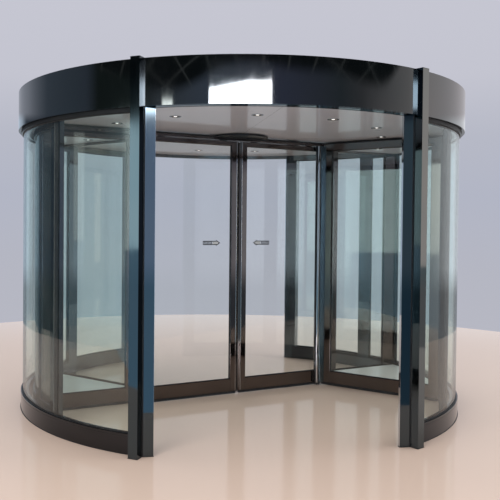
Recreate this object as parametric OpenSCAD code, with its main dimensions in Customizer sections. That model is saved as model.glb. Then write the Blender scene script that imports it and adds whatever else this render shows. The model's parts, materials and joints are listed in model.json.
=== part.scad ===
// Two-wing automatic revolving door, free-standing.
// A fixed drum of two curved glass walls carries a deep canopy ring. Inside it a
// rotor with two glazed display bays turns about the centre, and two glass leaves
// in the middle of the rotor slide apart. Millimetres, +Z up, origin on the floor
// at the centre of the drum. The front opening faces -Y, the rear one faces +Y.

/* [Canopy] */
// Outer radius of the canopy fascia
fascia_r = 1950; // [1900:10:2100]
// Thickness of the fascia shell
fascia_t = 20; // [10:1:40]
// Underside of the fascia over the floor
fascia_z0 = 2332; // [2300:1:2400]
// Top edge of the fascia over the floor
fascia_z1 = 2648; // [2500:1:2900]
// Lower face of the ceiling panel over the floor
ceiling_z = 2362; // [2345:1:2420]
// Thickness of the ceiling and of the roof cover
sheet_t = 12; // [8:1:20]
// How far the roof cover sits below the top edge of the fascia
roof_drop = 36; // [10:1:80]
// Number of downlights in the ceiling
light_n = 13; // [6:1:20]
// Radius of the circle of downlights
light_ring_r = 1290; // [1000:5:1600]
// Outer radius of a downlight's rim
light_r = 46; // [30:1:70]

/* [Drum walls] */
// Inner radius of the wall rails
rail_r0 = 1862; // [1850:1:1880]
// Outer radius of the wall rails
rail_r1 = 1925; // [1900:1:1928]
// Height of the bottom rail of the curved walls
rail_h = 138; // [80:1:200]
// Inner radius of the curved glass
glass_r0 = 1897; // [1872:1:1905]
// Thickness of the curved glass
glass_t = 12; // [8:1:16]
// How far the head rail hangs below the fascia
head_drop = 27; // [10:1:60]
// Angle from the middle of an opening to the middle of its end posts
post_a = 30.30; // [25:0.01:36]
// Width of an end post along the wall
post_w = 70; // [50:1:90]
// Outer radius of the end posts
post_r1 = 1992; // [1955:1:2100]
// Top of the end posts
post_z1 = 2655; // [2500:1:2950]
// Half of the clear opening between the jambs
jamb_x0 = 865; // [780:1:900]
// Distance of the flat jamb face from the centre plane
jamb_y = 1683; // [1655:1:1684]

/* [Rotor] */
// Angle of the rotor's centre line from +X, in the pose of rest
rotor_a = 18.5; // [0:0.1:45]
// Outer radius of the rotor
rim_r = 1824; // [1800:1:1835]
// Depth of the curved frames at the rotor's rim
rim_t = 36; // [30:1:45]
// Angle from the rotor's centre line to the end of the curved wing beside the screen
wing_a1 = 14; // [11:0.1:16]
// Angle from the rotor's centre line to the end of the curved wing beyond the angled side
wing_a0 = 51.5; // [49:0.1:54]
// Angle that the end post of a wing takes up
wing_post_a = 4.7; // [3:0.1:6]
// Thickness of the rotor's frames
frame_t = 40; // [30:1:50]
// Underside of the rotor's bottom rails, over the brushes
rotor_z0 = 29; // [20:1:40]
// Top of the rotor's bottom rails
rotor_rail_z = 138; // [100:1:200]
// Underside of the rotor's top rails
rotor_head_z = 2277; // [2200:1:2290]
// Top of the rotor's frames, under the top brushes
rotor_z1 = 2338; // [2336:1:2340]
// Width of the stiles of the rotor's fixed frames
stile_w = 72; // [50:1:100]
// Width of a screen's outer stile
screen_stile = 132; // [80:1:150]
// Distance of the fixed screens from the centre plane of the leaves
screen_off = 60; // [60:1:75]
// Angle between an angled side and the centre line
side_a = 61.5; // [55:0.5:68]
// Where the angled side's centre line meets the rotor's centre line
side_s = 922; // [900:1:960]
// Thickness of the rotor's glass
pane_t = 10; // [6:1:14]
// Underside of a bay's ceiling over the floor
bay_ceil_z = 2290; // [2285:1:2300]
// Radius of the black hub disc under the ceiling
hub_r = 265; // [180:1:300]
// Underside of the hub disc
hub_z = 2344; // [2342:1:2346]
// Radius of the rotor's shaft
shaft_r = 50; // [30:1:70]

/* [Sliding leaves] */
// Length of one leaf from the centre to its outer edge
leaf_w = 928; // [860:1:960]
// Thickness of a leaf
leaf_t = 40; // [30:1:44]
// Width of a leaf's meeting stile
leaf_stile = 75; // [60:1:90]
// Width of a leaf's outer stile
leaf_stile_out = 60; // [50:1:80]
// Underside of the header over the leaves
track_z = 2318; // [2300:1:2330]
// Top of a leaf's top rail
leaf_z1 = 2312; // [2290:1:2316]
// Gap between the two meeting seals at the centre
leaf_gap = 6; // [5.2:0.2:12]
// Depth of a meeting seal in front of its leaf's nose
seal_w = 9; // [6:1:14]

/* [Hidden] */
$fn = 360;
black = [0.10, 0.11, 0.12];
bronze = [0.17, 0.14, 0.13];
clear = [0.70, 0.82, 0.80, 0.45];
brush_c = [0.03, 0.03, 0.03];
glass_r1 = glass_r0 + glass_t;
groove = 14;
roof_z1 = fascia_z1 - roof_drop;
roof_z0 = roof_z1 - sheet_t;
ceil_z1 = ceiling_z + sheet_t;
head_z0 = fascia_z0 - head_drop;
shaft_hole = shaft_r + 14;
brush_z0 = 3;
brush_z1 = 2354;
ridge_t = 48;
rim_in = rim_r - rim_t;
bay_light_s = 1314;
bay_light_n = 360;
ca = cos(side_a);
sa = sin(side_a);
// distance along the angled side, from its foot on the centre line to the rim
side_len = -side_s * ca + sqrt(side_s * side_s * ca * ca + rim_in * rim_in - side_s * side_s);

// a flat ring between two radii, cut to the angles a0 to a1
module arc2d(r0, r1, a0, a1) {
    n = 8;
    intersection() {
        difference() {
            circle(r = r1);
            circle(r = r0);
        }
        polygon(concat([[0, 0]],
            [for (i = [0:n]) let (a = a0 + (a1 - a0) * i / n) [1.2 * r1 * cos(a), 1.2 * r1 * sin(a)]]));
    }
}

module arc(r0, r1, a0, a1, z0, z1) {
    translate([0, 0, z0]) linear_extrude(height = z1 - z0) arc2d(r0, r1, a0, a1);
}

// the block that an end post fills, standing at angle a
module post_block(a, grow = 0) {
    rotate([0, 0, a]) translate([rail_r0 + 4, -post_w / 2, -grow])
        cube([post_r1 - rail_r0 - 4, post_w, post_z1 + 2 * grow]);
}

module all_post_blocks() {
    for (a = [-90 - post_a, -90 + post_a, 90 - post_a, 90 + post_a]) post_block(a, 5);
}

module fascia(a0, a1) {
    color(black) difference() {
        union() {
            arc(fascia_r - fascia_t, fascia_r, a0, a1, fascia_z0, fascia_z1);
            // the inner lip that the ceiling lies on
            arc(fascia_r - fascia_t - 25, fascia_r - fascia_t, a0, a1, ceil_z1, ceil_z1 + 15);
        }
        all_post_blocks();
    }
}

module canopy_fascia_front() fascia(-90 - post_a, -90 + post_a);
module canopy_fascia_rear() fascia(90 - post_a, 90 + post_a);
module canopy_fascia_left() fascia(90 + post_a, 270 - post_a);
module canopy_fascia_right() fascia(-90 + post_a, 90 - post_a);

// flat cover over the canopy, let in a little under the top edge
module canopy_roof() color([0.16, 0.16, 0.17]) difference() {
    translate([0, 0, roof_z0]) cylinder(r = fascia_r - fascia_t, h = sheet_t);
    all_post_blocks();
}

module light_at(i) {
    rotate([0, 0, -94.2 + i * 360 / light_n]) translate([light_ring_r, 0, 0]) children();
}

// flat white ceiling with the shaft hole and a hole for each downlight
module canopy_ceiling() color([0.72, 0.70, 0.68]) difference() {
    translate([0, 0, ceiling_z]) cylinder(r = fascia_r - fascia_t, h = sheet_t);
    translate([0, 0, ceiling_z - 1]) cylinder(r = shaft_hole, h = sheet_t + 2);
    for (i = [0:light_n - 1]) light_at(i) translate([0, 0, ceiling_z - 1]) cylinder(r = light_r - 8, h = sheet_t + 2);
    all_post_blocks();
}

module ceiling_downlights() color([0.85, 0.85, 0.83]) for (i = [0:light_n - 1]) light_at(i) difference() {
    union() {
        translate([0, 0, ceiling_z - 2]) cylinder(r = light_r, h = 2);
        translate([0, 0, ceiling_z - 1]) cylinder(r = light_r - 8, h = 60);
    }
    translate([0, 0, ceiling_z - 4]) cylinder(r = light_r - 12, h = 46);
}

// slewing bearing over the ceiling that the rotor hangs in
module rotor_bearing() color([0.45, 0.46, 0.48]) difference() {
    union() {
        translate([0, 0, ceil_z1]) cylinder(r = 190, h = 22);
        translate([0, 0, ceil_z1 + 22]) cylinder(r = 120, h = 60);
    }
    translate([0, 0, ceil_z1 - 1]) cylinder(r = shaft_r + 0.08, h = 90);
}

// one curved rail of the drum's walls
module wall_rail(a0, a1) color(bronze) difference() {
    arc(rail_r0, rail_r1, a0, a1, 0, rail_h);
    arc(glass_r0 - 0.5, glass_r1 + 0.5, a0 - 2, a1 + 2, rail_h - groove, rail_h + 1);
    all_post_blocks();
}

module wall_rail_left() wall_rail(90 + post_a, 270 - post_a);
module wall_rail_right() wall_rail(-90 + post_a, 90 - post_a);

module head_rail(a0, a1) color(black) difference() {
    arc(rail_r0, rail_r1, a0, a1, head_z0, ceiling_z);
    arc(glass_r0 - 0.5, glass_r1 + 0.5, a0 - 2, a1 + 2, head_z0 - 1, head_z0 + groove);
    all_post_blocks();
}

module canopy_head_rails() {
    head_rail(90 + post_a, 270 - post_a);
    head_rail(-90 + post_a, 90 - post_a);
    // shallow trim between the jambs over each opening
    for (q = [-90, 90]) color(black) intersection() {
        arc(rail_r0, fascia_r - fascia_t, q - post_a, q + post_a, ceiling_z - 32, ceiling_z);
        translate([-jamb_x0, -2000, 2000]) cube([2 * jamb_x0, 4000, 1000]);
    }
}

module wall_glass(a0, a1) color(clear) difference() {
    arc(glass_r0, glass_r1, a0, a1, rail_h - groove, head_z0 + groove - 2);
    all_post_blocks();
}

module wall_glass_left_front() wall_glass(180.08, 270 - post_a);
module wall_glass_left_rear() wall_glass(90 + post_a, 179.92);
module wall_glass_right_front() wall_glass(-90 + post_a, -0.08);
module wall_glass_right_rear() wall_glass(0.08, 90 - post_a);

// full-height post, standing proud of the fascia, hollow in its length
module end_post(a) color(black) difference() {
    post_block(a);
    rotate([0, 0, a]) translate([rail_r0 + 10, -post_w / 2 + 6, -1])
        cube([post_r1 - rail_r0 - 16, post_w - 12, post_z1 - 5]);
}

module end_post_front_left() end_post(-90 - post_a);
module end_post_front_right() end_post(-90 + post_a);
module end_post_rear_left() end_post(90 + post_a);
module end_post_rear_right() end_post(90 - post_a);

// wedge-shaped jamb: flat face outside, drum radius inside. qx, qy pick the quarter
module jamb(qx, qy) color(black) difference() {
    linear_extrude(height = ceiling_z) difference() {
        translate([qx > 0 ? jamb_x0 : -jamb_x0 - 130, qy > 0 ? 1400 : -jamb_y])
            square([130, jamb_y - 1400]);
        circle(r = rail_r0 + 1);
    }
    all_post_blocks();
    // nothing of the jamb runs past the post, into the wall
    rotate([0, 0, qy * 90 - qx * qy * post_a]) translate([1700, qx * qy > 0 ? -400 : 0, -5]) cube([400, 400, 2700]);
}

module jamb_front_left() jamb(-1, -1);
module jamb_front_right() jamb(1, -1);
module jamb_rear_left() jamb(-1, 1);
module jamb_rear_right() jamb(1, 1);

// everything below turns with the rotor; end 0 is the right bay, end 1 the left
module turned(end = 0) rotate([0, 0, rotor_a + end * 180]) children();

// keeps what lies inside the curved frames at the rim
module in_rim(r = rim_in) intersection() {
    children();
    translate([0, 0, -5]) cylinder(r = r, h = 2700);
}

// thin disc on the header, and the hollow shaft it hangs by
module rotor_hub() color([0.04, 0.045, 0.05]) difference() {
    union() {
        translate([0, 0, hub_z]) cylinder(r = hub_r, h = 12);
        translate([0, 0, hub_z + 6]) cylinder(r = shaft_r, h = ceil_z1 + 102 - hub_z);
        // collar over the bearing
        translate([0, 0, ceil_z1 + 88]) cylinder(r = shaft_r + 34, h = 12);
    }
    turned() translate([-hub_r - 1, -ridge_t / 2, hub_z - 1]) cube([2 * hub_r + 2, ridge_t, 7]);
    translate([0, 0, hub_z + 9]) cylinder(r = shaft_r - 10, h = 200);
}

// header that carries the tracks of the leaves, from rim to rim
module rotor_header() color(bronze) turned() in_rim() difference() {
    union() {
        translate([-rim_r, -frame_t, track_z]) cube([2 * rim_r, 2 * frame_t, rotor_z1 - track_z]);
        // ridge between its two top brushes
        translate([-rim_r, -ridge_t / 2, track_z + 1]) cube([2 * rim_r, ridge_t, hub_z + 6 - track_z - 1]);
    }
    translate([-rim_r - 1, -leaf_t / 2 + 4, track_z - 1]) cube([2 * rim_r + 2, leaf_t - 8, 24]);
}

// the angled side's own frame: x along it from its foot, y across it
module side_place() {
    translate([side_s, 0, 0]) rotate([0, 0, -side_a]) children();
}

// block that an angled side fills, mitred clear of the leaf
module side_block(z0, z1, t = frame_t) {
    difference() {
        in_rim() side_place() translate([-60, -t / 2, z0]) cube([side_len + 160, t, z1 - z0]);
        translate([600, -leaf_t / 2 - 8, z0 - 1]) cube([600, 200, z1 - z0 + 2]);
    }
}

// fixed screen in line with the leaves, on the far side of each bay
module screen_block(z0, z1, t = frame_t) {
    difference() {
        in_rim() translate([900, -screen_off - t / 2, z0]) cube([1000, t, z1 - z0]);
        // mitre against the back of the angled side
        side_place() translate([-400, -200, z0 - 1]) cube([900, 200 + frame_t / 2, z1 - z0 + 2]);
    }
}

screen_s0 = side_s + (screen_off + frame_t) / tan(side_a) + frame_t;
screen_g0 = screen_s0 + stile_w - 26;
screen_g1 = rim_in - screen_stile;

module screen_frame() color(bronze) difference() {
    screen_block(rotor_z0, rotor_z1);
    translate([screen_g0, -screen_off - frame_t, rotor_rail_z])
        cube([screen_g1 - screen_g0, 2 * frame_t, rotor_head_z - rotor_rail_z]);
}

module screen_glass() color(clear) for (e = [0, 1]) turned(e)
    translate([screen_g0, -screen_off - pane_t / 2, rotor_rail_z])
        cube([screen_g1 - screen_g0, pane_t, rotor_head_z - rotor_rail_z]);

module screen_frame_left() turned(1) screen_frame();
module screen_frame_right() turned(0) screen_frame();

side_x0 = 46 + stile_w;
side_x1 = side_len - stile_w;

module side_frame() color(bronze) difference() {
    side_block(rotor_z0, rotor_z1);
    side_place() translate([side_x0, -frame_t, rotor_rail_z])
        cube([side_x1 - side_x0, 2 * frame_t, rotor_head_z - rotor_rail_z]);
    // the header passes over the inner end
    translate([600, -frame_t - 0.5, track_z - 0.5]) cube([700, 200, 100]);
}

module side_glass() color(clear) for (e = [0, 1]) turned(e)
    side_place() translate([side_x0, -pane_t / 2, rotor_rail_z])
        cube([side_x1 - side_x0, pane_t, rotor_head_z - rotor_rail_z]);

module side_frame_left() turned(1) side_frame();
module side_frame_right() turned(0) side_frame();

// where the angled side meets the rim
rim_a0 = -atan2(side_len * sa, side_s + side_len * ca);
// stiles of a curved frame, as angles from the centre line: wing post, corner, corner, wing post
RIM_STILES = [[-wing_a0, wing_post_a - wing_a0], [rim_a0 - 1.5, rim_a0 + 1.5], [-3, 0], [wing_a1 - wing_post_a, wing_a1]];

// curved frame that closes a bay at the rim and runs on past it as a wing at either end
module bay_rim_frame() color(black) difference() {
    arc(rim_in, rim_r, -wing_a0, wing_a1, rotor_z0, rotor_z1);
    for (k = [0:2]) arc(rim_in - 3, rim_r + 3, RIM_STILES[k][1], RIM_STILES[k + 1][0], rotor_rail_z, rotor_head_z);
}

module bay_rim_frame_left() turned(1) bay_rim_frame();
module bay_rim_frame_right() turned(0) bay_rim_frame();

module bay_rim_glass() color(clear) for (e = [0, 1]) turned(e)
    for (k = [0:2]) arc(rim_in + 13, rim_in + 23, RIM_STILES[k][1] + 0.003, RIM_STILES[k + 1][0] - 0.003, rotor_rail_z, rotor_head_z);

// bright post at the inner corner of each bay
module bay_corner_posts() color([0.55, 0.56, 0.58]) for (e = [0, 1]) turned(e)
    difference() {
        translate([840, -leaf_t / 2 - 8 - 32, rotor_z0]) cube([126, 32, track_z - rotor_z0]);
        side_place() translate([-300, -frame_t / 2, rotor_z0 - 1]) cube([900, 300, track_z]);
    }

// flat panel with the plan of a bay
module bay_panel(z0, h) difference() {
    translate([0, 0, z0]) linear_extrude(height = h) intersection() {
        circle(r = rim_in);
        polygon([[side_s - 60, -screen_off - frame_t / 2], [2000, -screen_off - frame_t / 2],
            [2000, -1600], [1500, -1600]]);
    }
    side_place() translate([-900, -1500, z0 - 10]) cube([2900, 1500 + frame_t / 2, h + 20]);
    translate([600, -screen_off - frame_t / 2, z0 - 10]) cube([1300, 300, h + 20]);
}

// raised floor of each bay
module bay_floors() color([0.75, 0.73, 0.69]) for (e = [0, 1]) turned(e) bay_panel(rotor_rail_z - 30, 26);

// ceiling of each bay, with one downlight
module bay_ceilings() color([0.72, 0.70, 0.68]) for (e = [0, 1]) turned(e) difference() {
    bay_panel(bay_ceil_z, 12);
    translate([bay_light_s, -bay_light_n, bay_ceil_z - 1]) cylinder(r = light_r - 8, h = 20);
}

module bay_downlights() color([0.85, 0.85, 0.83]) for (e = [0, 1]) turned(e)
    translate([bay_light_s, -bay_light_n, bay_ceil_z]) difference() {
        union() {
            translate([0, 0, -2]) cylinder(r = light_r, h = 2);
            translate([0, 0, -1]) cylinder(r = light_r - 8, h = 41);
        }
        translate([0, 0, -4]) cylinder(r = light_r - 12, h = 36);
    }

// strips on the frames of one bay between two heights
module bay_strips(z0, z1) {
    difference() {
        in_rim(rim_in - 1) translate([900, -screen_off - 9, z0]) cube([1000, 18, z1 - z0]);
        side_place() translate([-400, -200, z0 - 1]) cube([900, 200 + frame_t / 2, z1 - z0 + 2]);
    }
    side_block(z0, z1, 18);
    arc(rim_in + 9, rim_in + 27, 0.2 - wing_a0, wing_a1 - 0.2, z0, z1);
}

// brush strips under, over and at the outer edges of the rotor's fixed frames
module rotor_brushes() color(brush_c) {
    for (e = [0, 1]) turned(e) {
        bay_strips(brush_z0, rotor_z0);
        difference() {
            bay_strips(rotor_z1, brush_z1);
            in_rim() translate([600, -frame_t - 6, rotor_z1 - 1]) cube([1300, 300, 60]);
        }
        // upright strips at the ends of the wings, against the drum
        for (a = [wing_a1 - 1, 1 - wing_a0]) rotate([0, 0, a])
            translate([rim_r, -9, rotor_z0 + 4]) cube([26, 18, rotor_z1 - rotor_z0 - 8]);
    }
    // two strips on the header, lower where the hub disc covers them
    turned() for (k = [-1, 1]) difference() {
        in_rim(rim_in - 1) translate([-rim_r, k * 33 - 7, rotor_z1]) cube([2 * rim_r, 14, brush_z1 - rotor_z1]);
        translate([0, 0, hub_z]) cylinder(r = hub_r, h = 100);
    }
}

// sliding leaf, drawn for the right-hand end, with a rounded nose where it meets the other
leaf_s0 = leaf_gap / 2 + seal_w;

module leaf_frame() color(bronze) difference() {
    union() {
        translate([leaf_s0 + 14, -leaf_t / 2, rotor_z0]) cube([leaf_w - leaf_s0 - 14, leaf_t, leaf_z1 - rotor_z0]);
        translate([0, 0, rotor_z0]) linear_extrude(height = leaf_z1 - rotor_z0) {
            for (y = [-1, 1]) translate([leaf_s0 + 14, y * (leaf_t / 2 - 14)]) circle(r = 14);
            translate([leaf_s0, 14 - leaf_t / 2]) square([15, leaf_t - 28]);
        }
        // hangers that run in the header
        for (x = [160, leaf_w - 160]) translate([x - 30, -9, leaf_z1 - 1]) cube([60, 18, 22]);
    }
    translate([leaf_s0 + leaf_stile - 9, -leaf_t, rotor_rail_z])
        cube([leaf_w - leaf_s0 - leaf_stile - leaf_stile_out + 9, 2 * leaf_t, rotor_head_z - rotor_rail_z]);
}

module leaf_glass() color(clear) translate([leaf_s0 + leaf_stile - 9, -pane_t / 2, rotor_rail_z])
    cube([leaf_w - leaf_s0 - leaf_stile - leaf_stile_out + 9, pane_t, rotor_head_z - rotor_rail_z]);

// floor brush and meeting seal
module leaf_seals() color(brush_c) {
    translate([leaf_s0 + 6, -9, brush_z0]) cube([leaf_w - leaf_s0 - 10, 18, rotor_z0 - brush_z0]);
    translate([leaf_gap / 2, -5, rotor_z0 + 2]) cube([seal_w, 10, leaf_z1 - rotor_z0 - 4]);
}

module leaf_frame_left() turned(1) leaf_frame();
module leaf_frame_right() turned(0) leaf_frame();
module leaf_glass_left() turned(1) leaf_glass();
module leaf_glass_right() turned(0) leaf_glass();
module leaf_seals_left() turned(1) leaf_seals();
module leaf_seals_right() turned(0) leaf_seals();

canopy_fascia_front();
canopy_fascia_rear();
canopy_fascia_left();
canopy_fascia_right();
canopy_roof();
canopy_ceiling();
ceiling_downlights();
rotor_bearing();
canopy_head_rails();
wall_rail_left();
wall_rail_right();
wall_glass_left_front();
wall_glass_left_rear();
wall_glass_right_front();
wall_glass_right_rear();
end_post_front_left();
end_post_front_right();
end_post_rear_left();
end_post_rear_right();
jamb_front_left();
jamb_front_right();
jamb_rear_left();
jamb_rear_right();
rotor_hub();
rotor_header();
rotor_brushes();
screen_frame_left();
screen_frame_right();
screen_glass();
side_frame_left();
side_frame_right();
side_glass();
bay_rim_frame_left();
bay_rim_frame_right();
bay_rim_glass();
bay_corner_posts();
bay_floors();
bay_ceilings();
bay_downlights();
leaf_frame_left();
leaf_glass_left();
leaf_seals_left();
leaf_frame_right();
leaf_glass_right();
leaf_seals_right();
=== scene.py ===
"""Looks for the two-wing revolving door: camera, studio, finishes and the small detail that the solids leave out."""
import bpy
import bmesh
import json
import math
import random
from mathutils import Matrix, Vector


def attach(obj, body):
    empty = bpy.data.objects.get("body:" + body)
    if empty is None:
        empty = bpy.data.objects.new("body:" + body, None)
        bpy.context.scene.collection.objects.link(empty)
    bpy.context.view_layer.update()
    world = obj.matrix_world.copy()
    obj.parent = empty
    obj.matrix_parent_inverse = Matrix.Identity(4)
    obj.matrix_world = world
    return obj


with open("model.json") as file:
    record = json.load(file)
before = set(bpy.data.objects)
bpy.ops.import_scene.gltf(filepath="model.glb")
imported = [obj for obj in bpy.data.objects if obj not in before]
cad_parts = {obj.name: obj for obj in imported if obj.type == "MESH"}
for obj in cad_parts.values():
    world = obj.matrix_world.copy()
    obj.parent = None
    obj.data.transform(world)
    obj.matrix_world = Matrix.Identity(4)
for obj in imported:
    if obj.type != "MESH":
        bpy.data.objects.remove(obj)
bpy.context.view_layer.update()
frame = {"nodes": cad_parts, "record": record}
NODES = frame["nodes"]
scene = bpy.context.scene
random.seed(7)
MM = 0.001

# ---------------------------------------------------------------- sizes, as in the part's source
FASCIA_R, FASCIA_T, FASCIA_Z0, FASCIA_Z1, CEIL_Z, ROOF_Z = 1950, 20, 2332, 2648, 2362, 2612
RAIL_R0, RAIL_R1, RAIL_H = 1862, 1925, 138
GLASS_R0, GLASS_R1 = 1897, 1909
HEAD_Z0 = 2305
POST_A, POST_W, POST_R1, POST_Z1 = 30.30, 70, 1992, 2655
JAMB_X0, JAMB_Y = 865, 1683
# where a post's side meets the flat face of its jamb
JOIN_R = (JAMB_Y - POST_W / 2 * math.sin(math.radians(POST_A))) / math.cos(math.radians(POST_A))
JAMB_X1 = JOIN_R * math.sin(math.radians(POST_A)) - POST_W / 2 * math.cos(math.radians(POST_A))
ROTOR_A = 18.5
RIM_R, RIM_IN, WING_A0, WING_A1, WING_POST = 1824, 1788, 51.5, 14.0, 4.7
RIM_G0, RIM_G1 = RIM_IN + 13, RIM_IN + 23
FRAME_T, ROTOR_Z0, ROTOR_RAIL_Z, ROTOR_HEAD_Z, ROTOR_Z1 = 40, 29, 138, 2277, 2338
BRUSH_Z0, BRUSH_Z1 = 3, 2354
STILE_W, SCREEN_OFF, SIDE_A, SIDE_S = 72, 60, 61.5, 922
SCREEN_STILE, HUB_R, HUB_Z, TRACK_Z, BAY_CEIL = 132, 265, 2344, 2318, 2290
BAY_LIGHT = (1314, -360)
LEAF_W, LEAF_T, LEAF_X0, LEAF_X1, LEAF_Z1 = 928, 40, 78, 868, 2312
LIGHT_N, LIGHT_RING_R, LIGHT_R = 13, 1290, 46
CA, SA = math.cos(math.radians(SIDE_A)), math.sin(math.radians(SIDE_A))
SIDE_LEN = -SIDE_S * CA + math.sqrt(SIDE_S ** 2 * CA ** 2 + RIM_IN ** 2 - SIDE_S ** 2)
SIDE_X0, SIDE_X1 = 46 + STILE_W, SIDE_LEN - STILE_W
SCREEN_S0 = SIDE_S + (SCREEN_OFF + FRAME_T) / math.tan(math.radians(SIDE_A)) + FRAME_T
SCREEN_G0, SCREEN_G1 = SCREEN_S0 + STILE_W - 26, RIM_IN - SCREEN_STILE
RIM_A0 = -math.degrees(math.atan2(SIDE_LEN * SA, SIDE_S + SIDE_LEN * CA))
RIM_STILES = [(-WING_A0, WING_POST - WING_A0), (RIM_A0 - 1.5, RIM_A0 + 1.5), (-3.0, 0.0), (WING_A1 - WING_POST, WING_A1)]


def rotor_xy(end, s, n):
    """rotor frame to the row's plan, in mm"""
    a = math.radians(ROTOR_A + 180 * end)
    return s * math.cos(a) - n * math.sin(a), s * math.sin(a) + n * math.cos(a)


def side_sn(x, y):
    """along and across an angled side to the rotor's own frame"""
    return SIDE_S + x * CA + y * SA, -x * SA + y * CA


# ---------------------------------------------------------------- node helpers
def new_mat(name):
    m = bpy.data.materials.new(name)
    m.use_nodes = True
    nt = m.node_tree
    nt.nodes.clear()
    out = nt.nodes.new("ShaderNodeOutputMaterial")
    return m, nt, out


def nd(nt, kind, **kw):
    n = nt.nodes.new(kind)
    for k, v in kw.items():
        if k.startswith("i_"):
            n.inputs[k[2:].replace("_", " ")].default_value = v
        else:
            setattr(n, k, v)
    return n


def link(nt, a, b):
    nt.links.new(a, b)


def ramp(nt, fac, stops, interp="LINEAR"):
    r = nt.nodes.new("ShaderNodeValToRGB")
    r.color_ramp.interpolation = interp
    el = r.color_ramp.elements
    while len(el) > 1:
        el.remove(el[-1])
    el[0].position = stops[0][0]
    el[0].color = (*stops[0][1], 1.0)
    for p, c in stops[1:]:
        e = el.new(p)
        e.color = (*c, 1.0)
    link(nt, fac, r.inputs["Fac"])
    return r.outputs["Color"]


def maths(nt, op, a, b=None, c=None, clamp=False):
    m = nt.nodes.new("ShaderNodeMath")
    m.operation = op
    m.use_clamp = clamp
    for i, v in enumerate((a, b, c)):
        if v is None:
            continue
        if isinstance(v, (int, float)):
            m.inputs[i].default_value = v
        else:
            link(nt, v, m.inputs[i])
    return m.outputs[0]


def noise(nt, scale, detail=2.0, rough=0.5, stretch=None, coord="Object"):
    tc = nt.nodes.new("ShaderNodeTexCoord")
    src = tc.outputs[coord]
    if stretch:
        mp = nt.nodes.new("ShaderNodeMapping")
        mp.inputs["Scale"].default_value = stretch
        link(nt, src, mp.inputs["Vector"])
        src = mp.outputs["Vector"]
    n = nt.nodes.new("ShaderNodeTexNoise")
    n.inputs["Scale"].default_value = scale
    n.inputs["Detail"].default_value = detail
    n.inputs["Roughness"].default_value = rough
    link(nt, src, n.inputs["Vector"])
    return n.outputs["Fac"]


def mixed(nt, fac, a, b):
    m = nt.nodes.new("ShaderNodeMix")
    m.data_type = "RGBA"
    if isinstance(fac, (int, float)):
        m.inputs[0].default_value = fac
    else:
        link(nt, fac, m.inputs[0])
    for sock, v in ((m.inputs[6], a), (m.inputs[7], b)):
        if isinstance(v, tuple):
            sock.default_value = (*v, 1.0) if len(v) == 3 else v
        else:
            link(nt, v, sock)
    return m.outputs[2]


def span(nt, v, a, b, c, d):
    m = nt.nodes.new("ShaderNodeMapRange")
    m.inputs["From Min"].default_value = a
    m.inputs["From Max"].default_value = b
    m.inputs["To Min"].default_value = c
    m.inputs["To Max"].default_value = d
    link(nt, v, m.inputs["Value"])
    return m.outputs["Result"]


def bump(nt, height, strength, distance):
    b = nt.nodes.new("ShaderNodeBump")
    b.inputs["Strength"].default_value = strength
    b.inputs["Distance"].default_value = distance
    link(nt, height, b.inputs["Height"])
    return b.outputs["Normal"]


# ---------------------------------------------------------------- finishes
def polished_steel(name, c0, c1, r0, r1, wave=0.35):
    """polished, coloured stainless sheet: slow drift of tint, faint smears and a little waviness of the sheet"""
    m, nt, out = new_mat(name)
    p = nd(nt, "ShaderNodeBsdfPrincipled")
    p.inputs["Metallic"].default_value = 1.0
    drift = noise(nt, 1.3, 2.0)
    link(nt, mixed(nt, span(nt, drift, 0.35, 0.65, 0, 1), c0, c1), p.inputs["Base Color"])
    smear = noise(nt, 3.1, 5.0, 0.65, (1, 1, 0.35))
    fine = noise(nt, 160.0, 2.0, 0.5, (1, 1, 0.04))
    r = maths(nt, "MULTIPLY", span(nt, smear, 0.42, 0.72, r0, r1), span(nt, fine, 0.3, 0.7, 0.85, 1.15))
    link(nt, r, p.inputs["Roughness"])
    w = noise(nt, 1.1, 1.0, 0.4, (1, 1, 0.6))
    link(nt, bump(nt, w, wave, 0.012), p.inputs["Normal"])
    link(nt, p.outputs[0], out.inputs["Surface"])
    return m


def painted(name, c0, c1, rough, rvar=0.06, grain=700.0, depth=0.05, coat=0.0, coat_rough=0.1, scale=5.0, spec=0.5):
    m, nt, out = new_mat(name)
    p = nd(nt, "ShaderNodeBsdfPrincipled")
    n1 = noise(nt, scale, 4.0, 0.6)
    link(nt, mixed(nt, span(nt, n1, 0.3, 0.7, 0, 1), c0, c1), p.inputs["Base Color"])
    link(nt, span(nt, n1, 0.3, 0.7, rough - rvar, rough + rvar), p.inputs["Roughness"])
    p.inputs["Specular IOR Level"].default_value = spec
    p.inputs["Coat Weight"].default_value = coat
    p.inputs["Coat Roughness"].default_value = coat_rough
    if depth:
        link(nt, bump(nt, noise(nt, grain, 2.0), depth, 0.0004), p.inputs["Normal"])
    link(nt, p.outputs[0], out.inputs["Surface"])
    return m


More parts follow.
